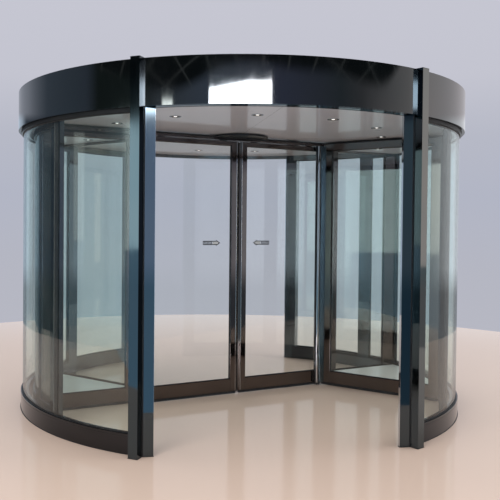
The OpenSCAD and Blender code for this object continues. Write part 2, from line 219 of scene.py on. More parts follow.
def sheet_glass(name, tint, veil=0.012):
    """clear toughened sheet: what is behind shows through a faint tint, the surface mirrors more at a glance,
    and a thin uneven film of dust and finger marks lies on it"""
    m, nt, out = new_mat(name)
    lw = nd(nt, "ShaderNodeLayerWeight", i_Blend=0.5)
    f5 = maths(nt, "POWER", lw.outputs["Facing"], 5.0)
    fres = maths(nt, "MULTIPLY_ADD", f5, 0.62, 0.042, clamp=True)
    # seen along the sheet, the light has a long way through the glass and its edge line turns dark
    t = nd(nt, "ShaderNodeBsdfTransparent")
    link(nt, mixed(nt, span(nt, lw.outputs["Facing"], 0.84, 0.94, 0, 1), tint, (0.36, 0.44, 0.47)), t.inputs["Color"])
    g = nd(nt, "ShaderNodeBsdfGlossy", i_Color=(1, 1, 1, 1), i_Roughness=0.012)
    mx = nd(nt, "ShaderNodeMixShader")
    link(nt, fres, mx.inputs[0])
    link(nt, t.outputs[0], mx.inputs[1])
    link(nt, g.outputs[0], mx.inputs[2])
    film = nd(nt, "ShaderNodeBsdfPrincipled", i_Roughness=0.6)
    film.inputs["Base Color"].default_value = (0.62, 0.68, 0.68, 1)
    dirt = noise(nt, 2.3, 6.0, 0.7)
    amount = span(nt, dirt, 0.45, 0.75, veil * 0.3, veil * 2.0)
    mx2 = nd(nt, "ShaderNodeMixShader")
    link(nt, amount, mx2.inputs[0])
    link(nt, mx.outputs[0], mx2.inputs[1])
    link(nt, film.outputs[0], mx2.inputs[2])
    link(nt, mx2.outputs[0], out.inputs["Surface"])
    return m


def pile(name):
    """dense nylon bristles: fine upright lines"""
    m, nt, out = new_mat(name)
    p = nd(nt, "ShaderNodeBsdfPrincipled", i_Roughness=0.75)
    n1 = noise(nt, 420.0, 2.0, 0.5, (1, 1, 0.03))
    link(nt, mixed(nt, span(nt, n1, 0.35, 0.65, 0, 1), (0.008, 0.008, 0.009), (0.035, 0.035, 0.038)), p.inputs["Base Color"])
    p.inputs["Sheen Weight"].default_value = 0.25
    link(nt, bump(nt, n1, 0.8, 0.001), p.inputs["Normal"])
    link(nt, p.outputs[0], out.inputs["Surface"])
    return m


def glow(name, colour, power):
    m, nt, out = new_mat(name)
    p = nd(nt, "ShaderNodeBsdfPrincipled", i_Roughness=0.35)
    p.inputs["Base Color"].default_value = (0.9, 0.9, 0.88, 1)
    n1 = noise(nt, 260.0, 2.0)
    link(nt, bump(nt, n1, 0.4, 0.0006), p.inputs["Normal"])
    p.inputs["Emission Color"].default_value = (*colour, 1)
    p.inputs["Emission Strength"].default_value = power
    link(nt, p.outputs[0], out.inputs["Surface"])
    return m


M = {}
M["black_mirror_steel"] = polished_steel("black_mirror_steel", (0.205, 0.218, 0.225), (0.232, 0.228, 0.228), 0.030, 0.075)
M["post_steel"] = polished_steel("post_steel", (0.072, 0.098, 0.118), (0.088, 0.108, 0.124), 0.035, 0.085, 0.25)
M["bronze_mirror_steel"] = polished_steel("bronze_mirror_steel", (0.142, 0.119, 0.111), (0.118, 0.104, 0.101), 0.040, 0.095, 0.2)
M["rail_steel"] = polished_steel("rail_steel", (0.062, 0.064, 0.071), (0.050, 0.054, 0.062), 0.045, 0.100, 0.2)
M["bright_steel"] = polished_steel("bright_steel", (0.60, 0.61, 0.63), (0.54, 0.55, 0.58), 0.030, 0.080, 0.3)
M["satin_cover"] = polished_steel("satin_cover", (0.20, 0.27, 0.31), (0.17, 0.24, 0.28), 0.20, 0.27, 0.2)
M["clear_glass"] = sheet_glass("clear_glass", (0.930, 0.974, 0.962))
M["rotor_glass"] = sheet_glass("rotor_glass", (0.956, 0.974, 0.970), 0.008)
M["roof_cover"] = painted("roof_cover", (0.060, 0.060, 0.064), (0.082, 0.081, 0.084), 0.60, 0.08, 500, 0.25)
M["ceiling_panel"] = painted("ceiling_panel", (0.715, 0.700, 0.765), (0.755, 0.735, 0.795), 0.30, 0.03, 900, 0.03, 0.6, 0.05, 1.2)
M["downlight"] = polished_steel("downlight", (0.30, 0.30, 0.31), (0.34, 0.335, 0.34), 0.06, 0.12, 0.1)
M["bearing_steel"] = painted("bearing_steel", (0.30, 0.31, 0.33), (0.36, 0.37, 0.38), 0.38, 0.06, 400, 0.1)
M["hub_black"] = painted("hub_black", (0.010, 0.012, 0.014), (0.018, 0.020, 0.023), 0.38, 0.05, 800, 0.06)
M["brush_pile"] = pile("brush_pile")
M["bay_floor_panel"] = painted("bay_floor_panel", (0.62, 0.59, 0.54), (0.68, 0.65, 0.60), 0.32, 0.05, 900, 0.03, 0.2, 0.15, 2.0)
M["rubber_seal"] = painted("rubber_seal", (0.010, 0.010, 0.011), (0.020, 0.020, 0.021), 0.55, 0.08, 900, 0.12)
M["silicone"] = painted("silicone", (0.34, 0.37, 0.38), (0.42, 0.45, 0.46), 0.30, 0.05, 600, 0.05)
M["lamp_lens"] = glow("lamp_lens", (1.0, 0.97, 0.93), 1.3)
M["arrow_film"] = painted("arrow_film", (0.050, 0.055, 0.062), (0.070, 0.075, 0.082), 0.45, 0.05, 900, 0.02)
M["arrow_white"] = painted("arrow_white", (0.66, 0.68, 0.70), (0.72, 0.74, 0.76), 0.45, 0.05, 900, 0.02)
M["dark_gap"] = painted("dark_gap", (0.006, 0.006, 0.007), (0.010, 0.010, 0.011), 0.7, 0.05, 900, 0.02)
M["screw_steel"] = painted("screw_steel", (0.20, 0.20, 0.21), (0.28, 0.28, 0.29), 0.30, 0.06, 300, 0.1, spec=0.8)

ROTOR_PANES = ("screen_glass", "side_glass", "bay_rim_glass", "leaf_glass_left", "leaf_glass_right")
for s in frame["record"]["subparts"]:
    o = NODES[s["node"]]
    mat = M["rotor_glass"] if s["node"] in ROTOR_PANES else M[s["material_slot"]]
    if not o.data.materials:
        o.data.materials.append(mat)
    for i in range(len(o.data.materials)):
        o.data.materials[i] = mat

# ---------------------------------------------------------------- mesh helpers
made = {}


def piece(name, verts, faces, mat, body, smooth=None):
    me = bpy.data.meshes.new(name)
    me.from_pydata(verts, [], faces)
    bm = bmesh.new()
    bm.from_mesh(me)
    bmesh.ops.remove_doubles(bm, verts=bm.verts, dist=1e-7)
    bmesh.ops.recalc_face_normals(bm, faces=bm.faces)
    bm.to_mesh(me)
    bm.free()
    me.materials.append(M[mat])
    o = bpy.data.objects.new(name, me)
    scene.collection.objects.link(o)
    if smooth is not None:
        for poly in me.polygons:
            poly.use_smooth = True
        me.set_sharp_from_angle(angle=math.radians(smooth))
    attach(o, body)
    made[name] = o
    return o


class Builder:
    """gathers many swept bars into one mesh"""

    def __init__(self):
        self.v, self.f = [], []

    def sweep(self, profile, frames, closed=False):
        """profile: (a, b) pairs. frames: (P, U, V), a point is P + a U + b V, in mm"""
        k, base = len(profile), len(self.v)
        for P, U, V in frames:
            for a, b in profile:
                self.v.append(((P[0] + a * U[0] + b * V[0]) * MM, (P[1] + a * U[1] + b * V[1]) * MM, (P[2] + a * U[2] + b * V[2]) * MM))
        n = len(frames)
        for i in range(n if closed else n - 1):
            j = (i + 1) % n
            for t in range(k):
                u = (t + 1) % k
                self.f.append((base + i * k + t, base + i * k + u, base + j * k + u, base + j * k + t))
        if not closed:
            self.f.append(tuple(base + t for t in reversed(range(k))))
            self.f.append(tuple(base + (n - 1) * k + t for t in range(k)))

    def arc(self, profile, a0, a1, step=1.5):
        """profile in (radius, height), swept from angle a0 to a1 about the upright axis"""
        full = abs(a1 - a0) >= 359.999
        n = max(2, int(math.ceil(abs(a1 - a0) / step)))
        frames = []
        for i in range(n if full else n + 1):
            a = math.radians(a0 + (a1 - a0) * i / n)
            frames.append(((0, 0, 0), (math.cos(a), math.sin(a), 0), (0, 0, 1)))
        self.sweep(profile, frames, full)

    def turned(self, profile, centre, z0=0.0, n=32):
        """profile (radius, height) about an upright axis at centre"""
        frames = []
        for i in range(n):
            a = 2 * math.pi * i / n
            frames.append(((centre[0], centre[1], z0), (math.cos(a), math.sin(a), 0), (0, 0, 1)))
        self.sweep(profile, frames, True)

    def window(self, profile, corners, normal):
        """profile (a inward in the pane's plane, b along normal) round a rectangle of four corners, mitred"""
        frames = []
        c = [Vector(p) for p in corners]
        for i in range(4):
            e0 = (c[(i + 1) % 4] - c[i]).normalized()
            e1 = (c[(i - 1) % 4] - c[i]).normalized()
            frames.append((tuple(c[i]), tuple(e0 + e1), tuple(normal)))
        self.sweep(profile, frames, True)

    def bar(self, profile, p0, p1, u, v):
        self.sweep(profile, [(p0, u, v), (p1, u, v)])

    def make(self, name, mat, body, slot=None, smooth=None):
        return piece(name, self.v, self.f, mat, body, smooth)


def round_rect(a0, a1, b0, b1, r, k=3):
    """a rectangle with rounded corners, as a list of points"""
    pts = []
    for ca_, cb_, st in ((a1 - r, b1 - r, 0), (a0 + r, b1 - r, 90), (a0 + r, b0 + r, 180), (a1 - r, b0 + r, 270)):
        for i in range(k + 1):
            t = math.radians(st + 90 * i / k)
            pts.append((ca_ + r * math.cos(t), cb_ + r * math.sin(t)))
    return pts


def cyl(a_deg, r, z=0.0):
    a = math.radians(a_deg)
    return r * math.cos(a), r * math.sin(a), z


def axes_at(a_deg):
    """outward and leftward directions in plan at an angle about the upright axis"""
    a = math.radians(a_deg)
    return (math.cos(a), math.sin(a), 0.0), (-math.sin(a), math.cos(a), 0.0)


def plan_sweep(bb, profile, pts, z=0.0, closed=False):
    """profile (outward, up) along a line in plan, mitred at its corners; outward is to the right of the way it runs"""
    n = len(pts)
    frames = []
    for i in range(n):
        ds = []
        for j, k in ((i - 1, i), (i, i + 1)):
            if closed or (0 <= j and k < n):
                p0, p1 = pts[j % n], pts[k % n]
                l = math.hypot(p1[0] - p0[0], p1[1] - p0[1])
                ds.append(((p1[0] - p0[0]) / l, (p1[1] - p0[1]) / l))
        nr = [(d[1], -d[0]) for d in ds]
        if len(nr) == 2:
            k = 1.0 + nr[0][0] * nr[1][0] + nr[0][1] * nr[1][1]
            m = ((nr[0][0] + nr[1][0]) / k, (nr[0][1] + nr[1][1]) / k)
        else:
            m = nr[0]
        frames.append(((pts[i][0], pts[i][1], z), (m[0], m[1], 0.0), (0.0, 0.0, 1.0)))
    bb.sweep(profile, frames, closed)


def screw(bb, P, N, r=4.0, h=1.2, k=16):
    """a pan-head screw with a hexagon socket; P is on the surface, N points out of it, in mm"""
    N = Vector(N).normalized()
    U = N.orthogonal().normalized()
    V = N.cross(U)
    P = Vector(P)
    rings = [(r, -0.3, k), (r, h * 0.45, k), (r * 0.86, h * 0.85, k), (r * 0.62, h, k)]
    base = len(bb.v)
    for rad, up_, m in rings:
        for i in range(m):
            t = 2 * math.pi * i / m
            q = P + U * (rad * math.cos(t)) + V * (rad * math.sin(t)) + N * up_
            bb.v.append((q.x * MM, q.y * MM, q.z * MM))
    # the socket's hexagon: a point every second or third of the ring lands on a flat
    for up_ in (h, h * 0.25):
        for i in range(k):
            t = 2 * math.pi * i / k
            s6 = (t % (math.pi / 3)) - math.pi / 6
            rad = r * 0.34 / max(0.5, math.cos(s6))
            q = P + U * (rad * math.cos(t)) + V * (rad * math.sin(t)) + N * up_
            bb.v.append((q.x * MM, q.y * MM, q.z * MM))
    rows = len(rings) + 2
    for j in range(rows - 1):
        for i in range(k):
            u = (i + 1) % k
            bb.f.append((base + j * k + i, base + j * k + u, base + (j + 1) * k + u, base + (j + 1) * k + i))
    bb.f.append(tuple(base + (rows - 1) * k + i for i in range(k)))
    bb.f.append(tuple(base + i for i in reversed(range(k))))


WALLS = ((90 + POST_A + 1.3, 270 - POST_A - 1.3), (-90 + POST_A + 1.3, 90 - POST_A - 1.3))
FRONTS = ((-90 - POST_A + 1.2, -90 + POST_A - 1.2), (90 - POST_A + 1.2, 90 + POST_A - 1.2))
POSTS = [(90 * qy + qx * qy * -POST_A, qx, qy) for qy in (-1, 1) for qx in (-1, 1)]
UP = (0.0, 0.0, 1.0)

# ---------------------------------------------------------------- the drum
# wall rails: black wedge gaskets on both faces of the glass, at the bottom rail and at the head rail
b = Builder()
for a0, a1 in WALLS:
    for r0, r1, out_ in ((GLASS_R0 - 7, GLASS_R0, False), (GLASS_R1, GLASS_R1 + 7, True)):
        b.arc([(r0, RAIL_H - 1), (r1, RAIL_H - 1), (r1, RAIL_H + (4 if out_ else 8)), (r0, RAIL_H + (8 if out_ else 4))], a0, a1)
        b.arc([(r0, HEAD_Z0 + 1), (r1, HEAD_Z0 + 1), (r1, HEAD_Z0 - (3 if out_ else 6)), (r0, HEAD_Z0 - (6 if out_ else 3))], a0, a1)
b.make("wall_gaskets", "rubber_seal", "drum", smooth=35)

# the joint between the two panes of each wall: a silicone bead, rounded on both faces
b = Builder()
for a in (0, 180):
    R, T = axes_at(a)
    prof = [(GLASS_R0 - 1.2, -1.6), (GLASS_R0 - 1.8, 0), (GLASS_R0 - 1.2, 1.6), (GLASS_R0, 3.0), (GLASS_R1, 3.0), (GLASS_R1 + 1.2, 1.6), (GLASS_R1 + 1.8, 0),
            (GLASS_R1 + 1.2, -1.6), (GLASS_R1, -3.0), (GLASS_R0, -3.0)]
    b.bar(prof, (0, 0, RAIL_H + 3), (0, 0, HEAD_Z0 - 3), R, T)
b.make("wall_glass_joints", "silicone", "drum", smooth=50)

# rolled hems of the fascia, top and bottom
b = Builder()
for a0, a1 in WALLS + FRONTS:
    for z in (FASCIA_Z0 + 2.6, FASCIA_Z1 - 2.6):
        b.arc([(FASCIA_R - 2.2 + 2.15 * math.cos(t), z + 2.55 * math.sin(t)) for t in [i * math.pi / 6 for i in range(12)]], a0, a1)
b.make("fascia_hems", "black_mirror_steel", "drum", "black_mirror_steel", smooth=60)

# sealant along the foot of the rails, posts and jambs, and the covers' joints, with painted shade lines: dark strips
# along the rails' top edges and between each post and its jamb
seal, gaps = Builder(), Builder()
for a0, a1 in WALLS:
    seal.arc([(RAIL_R1 - 0.5, 0.2), (RAIL_R1 + 4, 0.2), (RAIL_R1 + 1.4, 1.6), (RAIL_R1 - 0.5, 4.2)], a0, a1)
    seal.arc([(RAIL_R0 + 0.5, 0.2), (RAIL_R0 - 3.5, 0.2), (RAIL_R0 - 1.2, 1.5), (RAIL_R0 + 0.5, 3.8)], a0, a1)
    # shadow line along the rails' top edges, where the clamping cover meets the rail
    for r in (RAIL_R1, RAIL_R0):
        d = 0.25 if r == RAIL_R1 else -0.25
        gaps.arc([(r - d, RAIL_H - 17.5), (r + d, RAIL_H - 17.5), (r + d, RAIL_H - 16.3), (r - d, RAIL_H - 16.3)], a0, a1)
for a in (0, 180):
    R, T = axes_at(a)
    for r in (RAIL_R1, RAIL_R0):
        d = 0.3 if r == RAIL_R1 else -0.3
        gaps.bar([(r - d, -0.5), (r + d, -0.5), (r + d, 0.5), (r - d, 0.5)], (0, 0, 0.5), (0, 0, RAIL_H - 0.5), R, T)
for a, qx, qy in POSTS:
    R, T = axes_at(a)

    def at_post(r, t):
        return r * R[0] + t * T[0], r * R[1] + t * T[1]

    # which side of the post the jamb is on
    js = 1 if (at_post(1920, 30)[0] ** 2 < at_post(1920, -30)[0] ** 2) else -1
    h = POST_W / 2
    rj = JOIN_R
    loop = [at_post(rj, js * h), at_post(POST_R1, js * h), at_post(POST_R1, -js * h), at_post(RAIL_R1 + 4, -js * h)]
    foot = [(-0.5, 0.2), (3.4, 0.2), (1.2, 1.4), (-0.5, 3.8)]
    foot_in = [(-v[0], v[1]) for v in foot]
    plan_sweep(seal, foot if js < 0 else foot_in, loop)
    # the cap's joint near the top of the post
    ring = [at_post(POST_R1, h), at_post(POST_R1, -h), at_post(1866, -h), at_post(1866, h)]
    plan_sweep(gaps, [(-0.4, 0), (0.4, 0), (0.4, 0.9), (-0.4, 0.9)], ring, POST_Z1 - 5.0, True)
    # painted shade: a black strip where the groove between the post and its jamb lies in shadow
    xj = qx * (JAMB_X1 - 5.0)
    yj = qy * JAMB_Y
    gaps.bar([(-4.6, -0.6), (4.6, -0.6), (4.6, 0.5), (-4.6, 0.5)], (xj, yj, 0.5), (xj, yj, CEIL_Z - 31), (1, 0, 0), (0, qy, 0))
    # sealant along the jamb's foot
    jl = [(qx * (JAMB_X1 - 4.0), yj), (qx * JAMB_X0, yj), (qx * JAMB_X0, qy * 1652)]
    plan_sweep(seal, foot if qx * qy > 0 else foot_in, jl)
seal.make("floor_sealant", "rubber_seal", "drum")
# the covers' joints here are real joints; the strips along the rails' top edges and beside the jambs are painted shade
gaps.make("cover_joints_and_shade_lines", "dark_gap", "drum")
# painted shade: a black band over the outer face of each curved wall's head rail, under the canopy's edge, where the
# rail lies in shade
head_shade_bands = Builder()
for a0, a1 in WALLS:
    head_shade_bands.arc([(RAIL_R1 - 0.3, 2305.6), (RAIL_R1 + 0.8, 2305.6), (RAIL_R1 + 0.8, 2331.6), (RAIL_R1 - 0.3, 2331.6)], a0, a1)
head_shade_bands.make("wall_head_shade_bands", "rubber_seal", "drum")
guards = Builder()
for qx, qy in ((-1, -1), (1, -1), (-1, 1), (1, 1)):
    guards.bar([(1651.5, 0.2), (JAMB_Y - 1.2, 0.2), (JAMB_Y - 1.2, -0.6), (JAMB_Y - 2.2, -1.1), (1652.5, -1.1), (1651.5, -0.6)],
               (qx * JAMB_X0, 0, 5.0), (qx * JAMB_X0, 0, CEIL_Z - 33), (0, qy, 0), (qx, 0, 0))
guards.make("jamb_guard_strips", "bright_steel", "drum", "bright_steel")

# screws of the clamping covers, on the inside of the wall rails
b = Builder()
for a0, a1 in WALLS:
    n = 9
    for i in range(n):
        a = a0 + (a1 - a0) * (i + 0.5) / n
        R, T = axes_at(a)
        screw(b, (R[0] * RAIL_R0, R[1] * RAIL_R0, 30), (-R[0], -R[1], 0), 3.6, 0.8)
b.make("rail_screws", "screw_steel", "drum", smooth=30)

# dust cover: standing seams, a service hatch with its frame and turn-locks, and screws round the rim
b, sc = Builder(), Builder()
for i in range(8):
    a = 22.5 + 45 * i
    R, T = axes_at(a)
    b.bar([(-9, -0.5), (-9, 1.2), (-2.0, 1.2), (-1.2, 11.5), (0, 12.4), (1.2, 11.5), (2.0, 1.2), (9, 1.2), (9, -0.5)],
          (R[0] * 130, R[1] * 130, ROOF_Z), (R[0] * 1900, R[1] * 1900, ROOF_Z), T, UP)
for i in range(64):
    a = 360 * (i + 0.5) / 64
    if min(abs(((a - pa + 180) % 360) - 180) for pa, _, _ in POSTS) < 2.5:
        continue
    screw(sc, cyl(a, 1912, ROOF_Z), UP, 5.0, 2.0)
b.turned([(0.05, -0.5), (150, -0.5), (150, 3.0), (146, 5.0), (128, 6.0), (0.05, 6.0)], (0, 0), ROOF_Z, 96)
for i in range(8):
    screw(sc, cyl(45 * i, 138, ROOF_Z + 5.4), UP, 5.0, 2.0)
hx, hy, hw, hd = 0, 900, 330, 230
hatch = [(hx - hw, hy - hd), (hx + hw, hy - hd), (hx + hw, hy + hd), (hx - hw, hy + hd)]
plan_sweep(b, [(0, -0.5), (14, -0.5), (14, 1.5), (3, 2.2), (3, 7), (0, 8)], hatch, ROOF_Z, True)
b.sweep([(-hw, -hd), (hw, -hd), (hw, hd), (-hw, hd)], [((hx, hy, ROOF_Z - 0.5), (1, 0, 0), (0, 1, 0)), ((hx, hy, ROOF_Z + 3.5), (1, 0, 0), (0, 1, 0)),
                                                       ((hx, hy, ROOF_Z + 5.0), (0.99, 0, 0), (0, 0.985, 0))])
for sx in (-1, 1):
    for sy in (-1, 1):
        screw(sc, (hx + sx * (hw - 40), hy + sy * (hd - 34), ROOF_Z + 5.0), UP, 9.0, 3.0, 24)
b.make("roof_seams_and_hatch", "roof_cover", "drum", "roof_cover")
sc.make("roof_screws", "screw_steel", "drum", smooth=30)

# ceiling: hairline joints between its four sheets, and a collar ring round the shaft's hole
b = Builder()
for a in (0, 90, 180, 270):
    R, T = axes_at(a)
    b.bar([(-0.6, -0.25), (0.6, -0.25), (0.6, 0.2), (-0.6, 0.2)], (R[0] * 66, R[1] * 66, CEIL_Z), (R[0] * 1860, R[1] * 1860, CEIL_Z), T, UP)
b.turned([(64, 0.3), (64, -0.5), (66, -0.9), (78, -0.9), (80, -0.5), (80, 0.3)], (0, 0), CEIL_Z, 96)
b.make("ceiling_joints", "dark_gap", "drum")

# the trims over the openings: a rubber lip along their lower edge
b = Builder()
for a0, a1 in ((-90 - 27.4, -90 + 27.4), (90 - 27.4, 90 + 27.4)):
    b.arc([(1864, CEIL_Z - 31), (1870, CEIL_Z - 31), (1869, CEIL_Z - 33.2), (1865, CEIL_Z - 33.2)], a0, a1)
b.make("opening_trim_lips", "rubber_seal", "drum", smooth=35)

# ---------------------------------------------------------------- the rotor's glazing
BEAD = [(-1, 5), (3, 5), (3, 13), (2.2, 15.2), (0.4, 16), (-1, 16)]
RUBBER = [(2.6, 5), (6.2, 5), (6.2, 6.2), (4.6, 7.8), (2.6, 8.6)]
RIM_BEAD = [(0, -1), (0, 3), (7, 3), (9, 2.2), (10, 0.4), (10, -1)]
RIM_RUBBER = [(0, 2.6), (0, 6.2), (1.2, 6.2), (2.8, 4.6), (3.6, 2.6)]


def both_sides(bb, rb, corners, normal):
    for sgn in (1, -1):
        nrm = tuple(sgn * x for x in normal)
        bb.window(BEAD, corners, nrm)
        rb.window(RUBBER, corners, nrm)


def rect(fn, x0, x1):
    return [(*fn(x), z) for x, z in ((x0, ROTOR_RAIL_Z), (x1, ROTOR_RAIL_Z), (x1, ROTOR_HEAD_Z), (x0, ROTOR_HEAD_Z))]


def hair(bb, fn, s, n, z0, z1, along, normal, w=0.45):
    """a hairline on a face, where a stile meets a rail"""
    x_, y_ = fn(s, n)
    bb.bar([(-w, -0.3), (w, -0.3), (w, 0.12), (-w, 0.12)], (x_, y_, z0), (x_, y_, z1), along, normal)


beads, rubbers, rim_beads, joints = Builder(), Builder(), Builder(), Builder()
for end in (0, 1):
    along = (*rotor_xy(end, 1, 0), 0.0)
    across = (*rotor_xy(end, 0, 1), 0.0)
    screen = lambda s, n=0.0: rotor_xy(end, s, -SCREEN_OFF + n)
    side = lambda x, y=0.0: rotor_xy(end, *side_sn(x, y))
    both_sides(beads, rubbers, rect(screen, SCREEN_G0, SCREEN_G1), across)
    sx, sy = rotor_xy(end, SA, CA)
    side_n = (sx, sy, 0.0)
    tx, ty = rotor_xy(end, CA, -SA)
    side_t = (tx, ty, 0.0)
    both_sides(beads, rubbers, rect(side, SIDE_X0, SIDE_X1), side_n)
    for sgn in (1, -1):
        for z0, z1 in ((ROTOR_Z0 + 1, ROTOR_RAIL_Z - 1), (ROTOR_HEAD_Z + 1, ROTOR_Z1 - 1)):
            for s_ in (SCREEN_G0, SCREEN_G1):
                hair(joints, screen, s_, sgn * FRAME_T / 2, z0, z1, along, tuple(sgn * v for v in across))
            for s_ in (SIDE_X0, SIDE_X1):
                hair(joints, side, s_, sgn * FRAME_T / 2, z0, z1, side_t, tuple(sgn * v for v in side_n))
    # curved panes of the bay and of its two wings
    off = ROTOR_A + 180 * end
    for k in range(3):
        A0, A1 = off + RIM_STILES[k][1], off + RIM_STILES[k + 1][0]
        for g, sgn in ((RIM_G0, -1), (RIM_G1, 1)):
            for z, u in ((ROTOR_RAIL_Z, 1), (ROTOR_HEAD_Z, -1)):
                rim_beads.arc([(g + sgn * p_, z + u * q_) for p_, q_ in RIM_BEAD], A0, A1)
                rubbers.arc([(g + sgn * p_, z + u * q_) for p_, q_ in RIM_RUBBER], A0, A1)
            for a, into in ((A0, 1), (A1, -1)):
                R, T = axes_at(a)
                T = tuple(into * v for v in T)
                rim_beads.bar([(g + sgn * p_, q_) for p_, q_ in RIM_BEAD], (0, 0, ROTOR_RAIL_Z), (0, 0, ROTOR_HEAD_Z), R, T)
                rubbers.bar([(g + sgn * p_, q_) for p_, q_ in RIM_RUBBER], (0, 0, ROTOR_RAIL_Z), (0, 0, ROTOR_HEAD_Z), R, T)
    for st in RIM_STILES:
        for a in st:
            if a in (-WING_A0, WING_A1):
                continue
            R, T = axes_at(off + a)
            for r, d in ((RIM_R, 1), (RIM_IN, -1)):
                for z0, z1 in ((ROTOR_Z0 + 1, ROTOR_RAIL_Z - 1), (ROTOR_HEAD_Z + 1, ROTOR_Z1 - 1)):
                    joints.bar([(r - 0.3 * d, -0.45), (r + 0.12 * d, -0.45), (r + 0.12 * d, 0.45), (r - 0.3 * d, 0.45)], (0, 0, z0), (0, 0, z1), R, T)
beads.make("rotor_glazing_beads", "bronze_mirror_steel", "rotor", "bronze_mirror_steel")
rim_beads.make("rim_glazing_beads", "post_steel", "rotor", smooth=35)
rubbers.make("rotor_gaskets", "rubber_seal", "rotor")
joints.make("rotor_frame_joints", "dark_gap", "rotor")

# a bright edge trim round each bay's floor, and the shadow gap round its ceiling
trim, gap = Builder(), Builder()
for end in (0, 1):
    def bay_loop(inset):
        """corner points of a bay's plan, clear of the frames, running round it"""
        n0 = -SCREEN_OFF - FRAME_T / 2 - inset
        ri = RIM_IN - inset
        # corner between the screen and the angled side
        y1 = FRAME_T / 2 + inset
        ds = (y1 - n0 * CA) / SA
        pts = [(SIDE_S + ds, n0), (math.sqrt(ri * ri - n0 * n0), n0)]
        # along the rim to the angled side's inner face
        lo, hi = 0.0, SIDE_LEN + 60
        for _ in range(40):
            mid = (lo + hi) / 2
            s_, n_ = side_sn(mid, y1)
            if math.hypot(s_, n_) < ri:
                lo = mid
            else:
                hi = mid
        s_, n_ = side_sn(lo, y1)
        a_s = math.atan2(n0, math.sqrt(ri * ri - n0 * n0))
        a_e = math.atan2(n_, s_)
        m = 22
        for i in range(1, m + 1):
            t = a_s + (a_e - a_s) * i / m
            pts.append((ri * math.cos(t), ri * math.sin(t)))
        return [rotor_xy(end, *q) for q in pts]
    lp = bay_loop(1.0)
    plan_sweep(trim, [(0, 0), (7.0, 0), (7.0, 1.0), (5.6, 2.0), (1.2, 2.2), (0, 2.0)], lp, 133.8, True)
    plan_sweep(gap, [(0, 0.3), (5.0, 0.3), (5.0, -0.5), (0, -0.5)], lp, BAY_CEIL, True)
trim.make("bay_floor_trims", "bright_steel", "rotor", "bright_steel")
gap.make("bay_ceiling_gaps", "dark_gap", "rotor")

# the corner posts: a bright round bead at the outer corner, dark strips of painted shade beside it and over the post's
# side face, and a dark cover over the rest
bead, edge_shade, cover = Builder(), Builder(), Builder()
for end in (0, 1):
    P0, P1 = (*rotor_xy(end, 0, 0), ROTOR_Z0 + 1.0), (*rotor_xy(end, 0, 0), TRACK_Z - 1.0)
    along = (*rotor_xy(end, 1, 0), 0.0)
    across = (*rotor_xy(end, 0, 1), 0.0)
    arc_ = [(854.5 - 14.0 * math.cos(math.radians(t)), -60.2 - 5.5 * math.sin(math.radians(t))) for t in range(0, 181, 15)]
    bead.bar(arc_ + [(868.5, -59.6), (840.5, -59.6)], P0, P1, along, across)
    # painted shade: black strips along the bead's edge and over the post's side face, where those edges lie in shade
    edge_shade.bar([(868.8, -59.6), (878.0, -59.6), (878.0, -60.4), (868.8, -60.4)], P0, P1, along, across)
    edge_shade.bar([(840.4, -58.5), (840.4, -32.0), (839.5, -32.0), (839.5, -58.5)], P0, P1, along, across)
    cover.bar([(878.5, -59.6), (963.0, -59.6), (963.0, -61.0), (962.0, -61.6), (879.5, -61.6), (878.5, -61.0)], P0, P1, along, across)
bead.make("corner_post_beads", "bright_steel", "rotor", "bright_steel", smooth=40)
edge_shade.make("corner_post_shade_strips", "dark_gap", "rotor")
cover.make("corner_post_covers", "satin_cover", "rotor")

